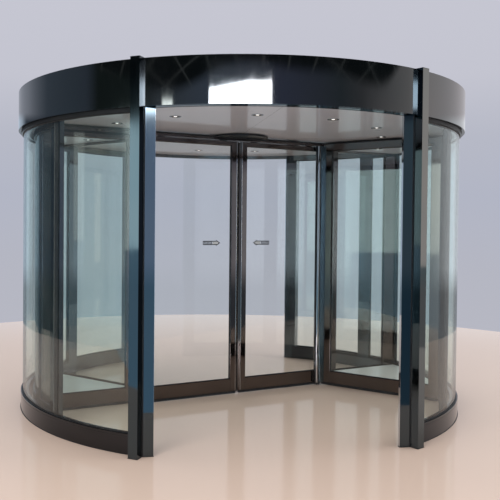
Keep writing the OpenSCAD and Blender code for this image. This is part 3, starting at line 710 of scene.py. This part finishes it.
# ---------------------------------------------------------------- the leaves
for end, side_name in ((0, "right"), (1, "left")):
    bb, rb, jb, fins = Builder(), Builder(), Builder(), Builder()
    along = (*rotor_xy(end, 1, 0), 0.0)
    across = (*rotor_xy(end, 0, 1), 0.0)
    leaf = lambda s, n=0.0: rotor_xy(end, s, n)
    both_sides(bb, rb, rect(leaf, LEAF_X0, LEAF_X1), across)
    for sgn in (1, -1):
        for z0, z1 in ((ROTOR_Z0 + 1, ROTOR_RAIL_Z - 1), (ROTOR_HEAD_Z + 1, LEAF_Z1 - 1)):
            for s_ in (LEAF_X0, LEAF_X1):
                hair(jb, leaf, s_, sgn * LEAF_T / 2, z0, z1, along, tuple(sgn * v for v in across))
        # the lip of the meeting stile, over its seal
        P0, P1 = (*leaf(0, 0), 31.5), (*leaf(0, 0), 2309.5)
        fins.bar([(3.2, sgn * 5.4), (14.0, sgn * 5.4), (14.0, sgn * 13.5), (9.5, sgn * 12.6), (5.6, sgn * 10.8), (3.2, sgn * 8.0)], P0, P1, along, across)
    # fine raised edge lines of the nose profile, in bright steel: a painted highlight of the rounded nose
    lines = Builder()
    for sgn in (1, -1):
        P0, P1 = (*leaf(0, 0), ROTOR_Z0 + 1.0), (*leaf(0, 0), LEAF_Z1 - 1.0)
        lines.bar([(25.6, sgn * 19.7), (28.6, sgn * 19.7), (28.6, sgn * 20.3), (27.1, sgn * 20.8), (25.6, sgn * 20.3)], P0, P1, along, across)
    bb.make("leaf_beads_" + side_name, "bronze_mirror_steel", "leaf_" + side_name, "bronze_mirror_steel")
    rb.make("leaf_gaskets_" + side_name, "rubber_seal", "leaf_" + side_name)
    jb.make("leaf_joints_" + side_name, "dark_gap", "leaf_" + side_name)
    fins.make("leaf_meeting_lips_" + side_name, "bronze_mirror_steel", "leaf_" + side_name, "bronze_mirror_steel", smooth=40)
    lines.make("leaf_nose_highlight_lines_" + side_name, "bright_steel", "leaf_" + side_name, "bright_steel", smooth=30)

    # a plain arrow on the glass that points to where the leaves meet
    def film(bb_, outer, inner, zc_, n_face):
        """a flat ring, or a flat shape, of film on the glass; points are (s, z)"""
        sg = -1 if end == 0 else 1
        n0, n1 = sg * (n_face - 0.1), sg * (n_face + 0.35)
        base, k = len(bb_.v), len(outer)
        for nn in (n0, n1):
            for ring_ in ([outer, inner] if inner else [outer]):
                for s_, z_ in ring_:
                    x_, y_ = leaf(s_, nn)
                    bb_.v.append((x_ * MM, y_ * MM, (zc_ + z_) * MM))
        if inner:
            o0, i0, o1, i1 = base, base + k, base + 2 * k, base + 3 * k
            for i in range(k):
                j = (i + 1) % k
                bb_.f += [(o0 + i, i0 + i, i0 + j, o0 + j), (o1 + i, o1 + j, i1 + j, i1 + i), (o0 + i, o0 + j, o1 + j, o1 + i), (i0 + i, i1 + i, i1 + j, i0 + j)]
        else:
            o0, o1 = base, base + k
            bb_.f += [tuple(o0 + i for i in reversed(range(k))), tuple(o1 + i for i in range(k))]
            for i in range(k):
                j = (i + 1) % k
                bb_.f.append((o0 + i, o0 + j, o1 + j, o1 + i))

    def shrink(poly, d):
        res = []
        k = len(poly)
        for i in range(k):
            p0, p1, p2 = Vector(poly[i - 1]), Vector(poly[i]), Vector(poly[(i + 1) % k])
            e0, e1 = (p1 - p0).normalized(), (p2 - p1).normalized()
            n0_, n1_ = Vector((-e0.y, e0.x)), Vector((-e1.y, e1.x))
            res.append(tuple(p1 + (n0_ + n1_) * (d / (1.0 + n0_.dot(n1_)))))
        return res

    tip, neck, tail = (158, 197, 331) if end == 0 else (186, 226, 361)
    # anticlockwise in (s, z)
    poly = [(tip, 0), (neck, -27), (neck, -19), (tail, -19), (tail, 19), (neck, 19), (neck, 27)]
    dark, white = Builder(), Builder()
    film(dark, poly, shrink(poly, 7.5), 1388, 5.0)
    s0_ = neck + 42
    while s0_ < tail - 12:
        film(dark, [(s0_, -13), (s0_ + 8, -13), (s0_ + 14, 13), (s0_ + 6, 13)] if s0_ + 14 < tail - 6 else [(s0_, -13), (tail - 6, -13), (tail - 6, 13), (s0_, 13)], None, 1388, 5.0)
        s0_ += 13.5
    inner = shrink(poly, 7.9)
    film(white, [inner[0], inner[1], inner[2], (neck + 38, inner[2][1]), (neck + 38, inner[5][1]), inner[5], inner[6]], None, 1388, 5.0)
    dark.make("arrow_dark_" + side_name, "arrow_film", "leaf_" + side_name)
    white.make("arrow_white_" + side_name, "arrow_white", "leaf_" + side_name)

# ---------------------------------------------------------------- the hub
b = Builder()
for i in range(12):
    a = 15 + 30 * i
    s_, n_ = 247 * math.cos(math.radians(a)), 247 * math.sin(math.radians(a))
    if abs(n_) < 56:
        continue
    x_, y_ = rotor_xy(0, s_, n_)
    screw(b, (x_, y_, HUB_Z), (0, 0, -1), 5.5, 1.6, 20)
b.make("hub_screws", "screw_steel", "rotor", smooth=30)
b = Builder()
b.turned([(HUB_R - 1.0, 2.0), (HUB_R + 1.6, 3.0), (HUB_R + 2.0, 6.0), (HUB_R + 1.6, 9.0), (HUB_R - 1.0, 10.0)], (0, 0), HUB_Z, 120)
b.turned([(HUB_R - 14, 0.4), (HUB_R - 13, -0.7), (HUB_R - 9, -0.7), (HUB_R - 8, 0.4)], (0, 0), HUB_Z, 120)
b.make("hub_edge", "hub_black", "rotor", "hub_black", smooth=50)

# ---------------------------------------------------------------- downlights
cone, lens = Builder(), Builder()
for i in range(LIGHT_N):
    a = math.radians(-94.2 + i * 360 / LIGHT_N)
    c = (LIGHT_RING_R * math.cos(a), LIGHT_RING_R * math.sin(a))
    cone.turned([(35.0, -2.2), (33.6, -2.6), (32.4, -1.4), (27, 3.5), (14.2, 5.5), (14.2, 7.0), (28, 5.5), (35.0, 0.4)], c, CEIL_Z, 48)
    lens.turned([(0.01, -2.2), (6, -2.0), (10, -1.2), (12.5, 0.4), (13.5, 3.5), (13.5, 8), (0.01, 8)], c, CEIL_Z, 32)
cone.make("downlight_cones", "downlight", "drum", "downlight", smooth=50)
lens.make("downlight_lenses", "lamp_lens", "drum", "downlight", smooth=50)
cone, lens = Builder(), Builder()
for end in (0, 1):
    c = rotor_xy(end, *BAY_LIGHT)
    cone.turned([(35.0, -2.2), (33.6, -2.6), (32.4, -1.4), (27, 3.5), (14.2, 5.5), (14.2, 7.0), (28, 5.5), (35.0, 0.4)], c, BAY_CEIL, 48)
    lens.turned([(0.01, -2.2), (6, -2.0), (10, -1.2), (12.5, 0.4), (13.5, 3.5), (13.5, 8), (0.01, 8)], c, BAY_CEIL, 32)
cone.make("bay_downlight_cones", "downlight", "rotor", "downlight", smooth=50)
lens.make("bay_downlight_lenses", "lamp_lens", "rotor", "downlight", smooth=50)


# ---------------------------------------------------------------- brushes
class Bristles(Builder):
    def tuft(self, P, A, N, D, length, w=1.35, out_=1.7):
        """P root on the bar's face, A along the strip, N out of its face, D towards the tip"""
        base = len(self.v)
        lean = random.uniform(-0.8, 0.8)
        length = length - random.uniform(0.0, 0.9)
        tipw = w * 0.62
        q = []
        for off_, ww, oo in ((0.0, w, out_), (length, tipw, out_ * 0.8)):
            for a_, n_ in ((-ww, -0.25), (ww, -0.25), (random.uniform(-0.4, 0.4) * ww, oo)):
                sh = lean if off_ else 0.0
                q.append(tuple((P[i] + A[i] * (a_ + sh) + N[i] * n_ + D[i] * off_) * MM for i in range(3)))
        self.v += q
        self.f += [(base, base + 1, base + 2), (base + 3, base + 5, base + 4)]
        for i in range(3):
            j = (i + 1) % 3
            self.f.append((base + i, base + 3 + i, base + 3 + j, base + j))

    def strip(self, p0, p1, half, z0, z1, up_, pitch=4.0, skip=None):
        """both faces of a straight bar from p0 to p1 in plan; its root is at the top unless up_"""
        l = math.hypot(p1[0] - p0[0], p1[1] - p0[1])
        A = ((p1[0] - p0[0]) / l, (p1[1] - p0[1]) / l, 0.0)
        N = (-A[1], A[0], 0.0)
        n = max(1, int(l / pitch))
        for i in range(n):
            t = (i + 0.5) * l / n
            for sg in (1, -1):
                P = (p0[0] + A[0] * t + N[0] * half * sg, p0[1] + A[1] * t + N[1] * half * sg, z0 if up_ else z1)
                self.tuft(P, A, tuple(sg * v for v in N), (0, 0, 1 if up_ else -1), z1 - z0)

    def ring(self, r0, r1, a0, a1, z0, z1, up_, pitch=4.0):
        for r, sg in ((r0, -1), (r1, 1)):
            n = int(math.radians(a1 - a0) * r / pitch)
            for i in range(n):
                R, T = axes_at(a0 + (a1 - a0) * (i + 0.5) / n)
                self.tuft((R[0] * r, R[1] * r, z0 if up_ else z1), T, tuple(sg * v for v in R), (0, 0, 1 if up_ else -1), z1 - z0)

    def upright(self, a, half, r0, r1, z0, z1, pitch=4.0):
        R, T = axes_at(a)
        n = int((z1 - z0) / pitch)
        for i in range(n):
            z = z0 + (z1 - z0) * (i + 0.5) / n
            for sg in (1, -1):
                P = (R[0] * r0 + T[0] * half * sg, R[1] * r0 + T[1] * half * sg, z)
                self.tuft(P, (0, 0, 1), tuple(sg * v for v in T), R, r1 - r0)


def carrier(bb, p0, p1, half, z, up_):
    """the folded holder that grips the roots of a straight strip"""
    l = math.hypot(p1[0] - p0[0], p1[1] - p0[1])
    N = (-(p1[1] - p0[1]) / l, (p1[0] - p0[0]) / l, 0.0)
    d = -1 if not up_ else 1
    for sg in (1, -1):
        bb.bar([(sg * (half - 0.2), 0), (sg * (half + 3.4), 0), (sg * (half + 3.4), d * 4.6), (sg * (half + 2.4), d * 6.2), (sg * (half - 0.2), d * 6.2)],
               (p0[0], p0[1], z), (p1[0], p1[1], z), N, UP)


low, high, edge, hold = Bristles(), Bristles(), Bristles(), Builder()
for end in (0, 1):
    off = ROTOR_A + 180 * end
    s_end = math.sqrt((RIM_IN - 2) ** 2 - 70 ** 2) - 2
    a0_, a1_ = rotor_xy(end, 986, -SCREEN_OFF), rotor_xy(end, s_end, -SCREEN_OFF)
    low.strip(a0_, a1_, 9, BRUSH_Z0, ROTOR_Z0, False)
    high.strip(a0_, a1_, 9, ROTOR_Z1, BRUSH_Z1, True)
    carrier(hold, a0_, a1_, 9, ROTOR_Z0, False)
    carrier(hold, a0_, a1_, 9, ROTOR_Z1, True)
    b0_, b1_ = rotor_xy(end, *side_sn(42, 0)), rotor_xy(end, *side_sn(SIDE_LEN - 12, 0))
    low.strip(b0_, b1_, 9, BRUSH_Z0, ROTOR_Z0, False)
    carrier(hold, b0_, b1_, 9, ROTOR_Z0, False)
    c0_ = rotor_xy(end, *side_sn(66, 0))
    high.strip(c0_, b1_, 9, ROTOR_Z1, BRUSH_Z1, True)
    carrier(hold, c0_, b1_, 9, ROTOR_Z1, True)
    low.strip(rotor_xy(end, 844, -44), rotor_xy(end, 906, -44), 13, BRUSH_Z0, ROTOR_Z0, False)
    low.ring(RIM_IN + 9, RIM_IN + 27, off - WING_A0 + 0.3, off + WING_A1 - 0.3, BRUSH_Z0, ROTOR_Z0, False)
    high.ring(RIM_IN + 9, RIM_IN + 27, off - WING_A0 + 0.3, off + WING_A1 - 0.3, ROTOR_Z1, BRUSH_Z1, True)
    for z, d in ((ROTOR_Z0, -1), (ROTOR_Z1, 1)):
        for r, sg in ((RIM_IN + 9, -1), (RIM_IN + 27, 1)):
            hold.arc([(r - sg * 0.2, z), (r + sg * 3.4, z), (r + sg * 3.4, z + d * 4.6), (r + sg * 2.4, z + d * 6.2), (r - sg * 0.2, z + d * 6.2)],
                     off - WING_A0 + 0.3, off + WING_A1 - 0.3)
    for a in (WING_A1 - 1, 1 - WING_A0):
        edge.upright(off + a, 9, RIM_R, RIM_R + 26, ROTOR_Z0 + 5, ROTOR_Z1 - 5)
        R, T = axes_at(off + a)
        for sg in (1, -1):
            hold.bar([(RIM_R, sg * 8.8), (RIM_R, sg * 12.4), (RIM_R + 4.6, sg * 12.4), (RIM_R + 6.2, sg * 11.4), (RIM_R + 6.2, sg * 8.8)],
                     (0, 0, ROTOR_Z0 + 5), (0, 0, ROTOR_Z1 - 5), R, T)
    # on the header, outside the hub disc
    for k in (-1, 1):
        high.strip(rotor_xy(end, 270, k * 33), rotor_xy(end, 1784, k * 33), 7, ROTOR_Z1, BRUSH_Z1, True)
low.make("rotor_bristles_low", "brush_pile", "rotor", "brush_pile")
high.make("rotor_bristles_high", "brush_pile", "rotor", "brush_pile")
edge.make("rotor_bristles_edge", "brush_pile", "rotor", "brush_pile")
hold.make("rotor_brush_holders", "hub_black", "rotor")
for end, side_name in ((0, "right"), (1, "left")):
    br, hb = Bristles(), Builder()
    p0_, p1_ = rotor_xy(end, 3.3, 0), rotor_xy(end, 923, 0)
    br.strip(p0_, p1_, 9, BRUSH_Z0, ROTOR_Z0, False)
    carrier(hb, p0_, p1_, 9, ROTOR_Z0, False)
    br.make("leaf_bristles_" + side_name, "brush_pile", "leaf_" + side_name, "brush_pile")
    hb.make("leaf_brush_holder_" + side_name, "hub_black", "leaf_" + side_name)

# ---------------------------------------------------------------- studio
bm = bmesh.new()
bmesh.ops.create_circle(bm, cap_ends=True, cap_tris=False, segments=128, radius=5.6)
for v in bm.verts:
    v.co.y = max(v.co.y, -2.78)
me = bpy.data.meshes.new("studio_floor")
bm.to_mesh(me)
bm.free()
m, nt, out = new_mat("studio_floor")
p = nd(nt, "ShaderNodeBsdfPrincipled", i_Roughness=0.10)
p.inputs["Base Color"].default_value = (0.715, 0.550, 0.450, 1)
p.inputs["Specular IOR Level"].default_value = 0.5
link(nt, p.outputs[0], out.inputs["Surface"])
me.materials.append(m)
floor = bpy.data.objects.new("studio_floor", me)
scene.collection.objects.link(floor)
floor.location = (0, 0, -0.0015)

w = bpy.data.worlds.new("studio")
scene.world = w
w.use_nodes = True
nt = w.node_tree
nt.nodes.clear()
wout = nt.nodes.new("ShaderNodeOutputWorld")
tc = nt.nodes.new("ShaderNodeTexCoord")
sep = nt.nodes.new("ShaderNodeSeparateXYZ")
link(nt, tc.outputs["Generated"], sep.inputs[0])
x, y, z = sep.outputs
lp = nt.nodes.new("ShaderNodeLightPath")
# azimuth from -Y towards +X, as 0..1 with 0.5 straight to the front
az = maths(nt, "MULTIPLY_ADD", maths(nt, "ARCTAN2", x, maths(nt, "MULTIPLY", y, -1.0)), 1 / (2 * math.pi), 0.5)


def at(deg):
    return 0.5 + deg / 360.0


wall = ramp(nt, az, [
    (0.0, (0.42, 0.44, 0.50)), (at(-140), (0.36, 0.39, 0.46)), (at(-118), (0.11, 0.14, 0.18)), (at(-96), (0.080, 0.110, 0.145)),
    (at(-88), (0.070, 0.095, 0.130)), (at(-81), (0.020, 0.030, 0.030)), (at(-56), (0.020, 0.032, 0.032)), (at(-49), (0.10, 0.12, 0.14)),
    (at(-27), (0.12, 0.15, 0.20)), (at(10), (0.085, 0.10, 0.155)), (at(24), (0.070, 0.085, 0.12)), (at(38), (0.055, 0.072, 0.085)),
    (at(49), (0.095, 0.100, 0.110)), (at(60), (0.20, 0.195, 0.20)), (at(76), (0.33, 0.32, 0.32)), (at(92), (0.60, 0.57, 0.57)), (at(130), (0.66, 0.63, 0.66)),
    (1.0, (0.42, 0.44, 0.50))])
# what stands lower, about level with the eye
low = ramp(nt, az, [
    (0.0, (0.55, 0.66, 0.80)), (at(-153), (0.50, 0.60, 0.72)), (at(-144), (0.07, 0.09, 0.12)), (at(-112), (0.05, 0.07, 0.10)), (at(-98), (0.15, 0.18, 0.19)),
    (at(-80), (0.17, 0.21, 0.22)), (at(-69), (0.40, 0.58, 0.62)), (at(-65), (2.1, 2.6, 2.6)), (at(-56), (2.1, 2.6, 2.6)), (at(-52), (0.30, 0.36, 0.40)),
    (at(-30), (0.15, 0.16, 0.20)), (at(-7), (0.18, 0.22, 0.28)), (at(-3), (0.80, 0.96, 1.26)), (at(9), (0.80, 0.96, 1.26)), (at(14), (0.28, 0.33, 0.38)),
    (at(24), (0.24, 0.32, 0.37)), (at(33), (0.30, 0.30, 0.38)), (at(40), (0.48, 0.47, 0.62)), (at(54), (0.48, 0.47, 0.62)), (at(70), (0.36, 0.35, 0.38)),
    (at(86), (0.50, 0.55, 0.53)), (at(100), (0.58, 0.60, 0.62)), (at(116), (0.90, 0.92, 0.96)), (at(150), (0.84, 0.86, 0.92)), (1.0, (0.55, 0.66, 0.80))])
top = ramp(nt, az, [
    (0.0, (0.9,) * 3), (at(-150), (0.8,) * 3), (at(-110), (0.30,) * 3), (at(-75), (0.21,) * 3), (at(-45), (0.185,) * 3), (at(-10), (0.222,) * 3),
    (at(30), (0.212,) * 3), (at(60), (0.19,) * 3), (at(85), (0.26,) * 3), (at(130), (0.8,) * 3), (1.0, (0.9,) * 3)], "EASE")
topv = nt.nodes.new("ShaderNodeSeparateColor")
link(nt, top, topv.inputs[0])
over = maths(nt, "MULTIPLY_ADD", maths(nt, "SUBTRACT", z, topv.outputs[0]), 60.0, 0.5, clamp=True)
# the ceiling over the wall: dark, with a fine pale grid
zc = maths(nt, "MAXIMUM", z, 0.05)
gu = maths(nt, "FRACT", maths(nt, "MULTIPLY", maths(nt, "DIVIDE", x, zc), 1.1))
gv = maths(nt, "FRACT", maths(nt, "MULTIPLY", maths(nt, "DIVIDE", y, zc), 1.1))
gl = maths(nt, "ADD", maths(nt, "LESS_THAN", gu, 0.05), maths(nt, "LESS_THAN", gv, 0.05), clamp=True)
ceil_c = mixed(nt, gl, (0.012, 0.016, 0.018), (0.10, 0.11, 0.11))
lowf = maths(nt, "MULTIPLY_ADD", maths(nt, "SUBTRACT", 0.143, z), 90.0, 0.5, clamp=True)
room = mixed(nt, over, mixed(nt, lowf, wall, low), ceil_c)


def panel(a0, a1, z0, z1, colour, under):
    """a soft bright panel between two azimuths and two heights of the direction"""
    soft = 0.0016
    f = None
    for v, lo, hi, s in ((az, at(a0), at(a1), soft), (z, z0, z1, 0.004)):
        up = maths(nt, "MULTIPLY_ADD", maths(nt, "SUBTRACT", v, lo), 1 / s, 0.5, clamp=True)
        dn = maths(nt, "MULTIPLY_ADD", maths(nt, "SUBTRACT", hi, v), 1 / s, 0.5, clamp=True)
        g = maths(nt, "MULTIPLY", up, dn)
        f = g if f is None else maths(nt, "MULTIPLY", f, g)
    return mixed(nt, f, under, colour)


# the large window: its upper edge drops towards the left
drop = maths(nt, "MULTIPLY_ADD", maths(nt, "SUBTRACT", az, at(-24)), 360.0 / 17.0, 0.0, clamp=True)
z_keep, z = z, maths(nt, "MULTIPLY_ADD", drop, -0.0100, z)
room = panel(-24, 4.3, 0.160, 0.1885, (16.0, 16.4, 17.0), room)
z = z_keep
room = panel(-24, 4.3, 0.1545, 0.172, (16.0, 16.4, 17.0), room)
room = panel(44.0, 56.5, -0.2, 0.078, (0.72, 0.71, 0.85), room)
room = panel(46.9, 56.5, -0.2, 0.078, (1.02, 1.02, 1.16), room)
room = panel(49.5, 56.5, -0.2, 0.078, (1.45, 1.55, 1.75), room)
room = panel(83.2, 88.0, -0.055, 0.27, (1.95, 1.55, 1.30), room)
room = panel(-46.2, -41.2, 0.1545, 0.1735, (4.0, 4.2, 4.0), room)
room = panel(-34, 20, 0.62, 0.86, (1.6, 1.6, 1.65), room)
room = panel(-67, -53.5, -0.35, -0.038, (0.52, 0.78, 0.94), room)
room = panel(-99.5, -92.0, -0.35, -0.025, (0.40, 0.52, 0.60), room)
room = panel(-99.5, -92.0, -0.025, 0.125, (0.88, 0.98, 0.92), room)
# the far floor, under eye level
deep = ramp(nt, az, [
    (0.0, (0.30, 0.33, 0.37)), (at(-153), (0.25, 0.30, 0.35)), (at(-144), (0.045, 0.060, 0.070)), (at(-98), (0.05, 0.07, 0.08)), (at(-75), (0.24, 0.38, 0.46)),
    (at(-64), (0.45, 0.68, 0.84)), (at(-55), (0.45, 0.68, 0.84)), (at(-40), (0.30, 0.38, 0.46)), (at(-4), (0.42, 0.66, 0.86)), (at(8), (0.42, 0.66, 0.86)), (at(14), (0.20, 0.30, 0.36)),
    (at(24), (0.10, 0.18, 0.24)), (at(38), (0.17, 0.20, 0.27)), (at(55), (0.20, 0.22, 0.26)), (at(86), (0.62, 0.52, 0.46)), (at(100), (0.36, 0.36, 0.38)), (at(130), (0.36, 0.35, 0.36)),
    (1.0, (0.30, 0.33, 0.37))])
down = maths(nt, "MULTIPLY_ADD", z, -28.0, -1.6, clamp=True)
room = mixed(nt, down, room, deep)
even = ramp(nt, maths(nt, "MULTIPLY_ADD", z, 0.5, 0.5), [(0.0, (0.55, 0.53, 0.52)), (0.45, (0.62, 0.61, 0.62)), (0.55, (0.80, 0.82, 0.88)), (1.0, (1.0, 1.0, 1.02))])
lit = mixed(nt, lp.outputs["Is Glossy Ray"], even, room)
back = ramp(nt, maths(nt, "MULTIPLY_ADD", z, 0.5, 0.5), [(0.30, (0.50, 0.50, 0.55)), (0.47, (0.46, 0.47, 0.54)), (0.52, (0.445, 0.465, 0.555)), (0.56, (0.47, 0.485, 0.565)), (0.60, (0.55, 0.555, 0.63)), (0.8, (0.60, 0.60, 0.68))])
final = mixed(nt, lp.outputs["Is Camera Ray"], lit, back)
bg = nd(nt, "ShaderNodeBackground", i_Strength=1.0)
link(nt, final, bg.inputs["Color"])
link(nt, bg.outputs[0], wout.inputs["Surface"])


def area(name, loc, target, size, power, colour=(1, 1, 1), glossy=False):
    l = bpy.data.lights.new(name, "AREA")
    l.shape = "RECTANGLE"
    l.size, l.size_y = size
    l.energy = power
    l.color = colour
    o = bpy.data.objects.new(name, l)
    o.location = loc
    o.rotation_euler = (Vector(target) - Vector(loc)).to_track_quat("-Z", "Y").to_euler()
    scene.collection.objects.link(o)
    o.visible_glossy = glossy
    o.visible_camera = False
    return o


area("key", (-4.5, -6.5, 6.0), (0, 0, 0.8), (4.5, 3.0), 260, (1.0, 0.985, 0.96))
area("fill", (5.5, -2.5, 4.6), (0, 0, 1.0), (3.5, 2.5), 90, (0.93, 0.96, 1.0))
area("rear", (-1.0, 6.5, 5.0), (0, 0, 0.8), (4.0, 2.5), 120, (0.96, 0.97, 1.0))

# ---------------------------------------------------------------- camera
cam = bpy.data.cameras.new("camera")
cam.lens = 50.40
cam.sensor_width = 36
cam.sensor_fit = "HORIZONTAL"
cam.shift_x = 0.0796
cam.shift_y = -0.0264
co = bpy.data.objects.new("camera", cam)
scene.collection.objects.link(co)
HEAD, PITCH, ROLL = 0.13881, 0.01863, -0.00856
co.location = (-1.1443, -6.3439, 1.5608)
fwd = Vector((math.sin(HEAD) * math.cos(PITCH), math.cos(HEAD) * math.cos(PITCH), -math.sin(PITCH)))
right = Vector((math.cos(HEAD), -math.sin(HEAD), 0))
up = right.cross(fwd)
rr = right * math.cos(ROLL) + up * -math.sin(ROLL)
uu = up * math.cos(ROLL) + right * math.sin(ROLL)
co.matrix_world = Matrix(((rr.x, uu.x, -fwd.x, co.location.x), (rr.y, uu.y, -fwd.y, co.location.y), (rr.z, uu.z, -fwd.z, co.location.z), (0, 0, 0, 1)))
scene.camera = co
scene.view_settings.view_transform = "Standard"
scene.view_settings.look = "None"
scene.cycles.max_bounces = 24
scene.cycles.glossy_bounces = 8
scene.cycles.transmission_bounces = 12
scene.cycles.transparent_max_bounces = 48
scene.cycles.sample_clamp_indirect = 6.0
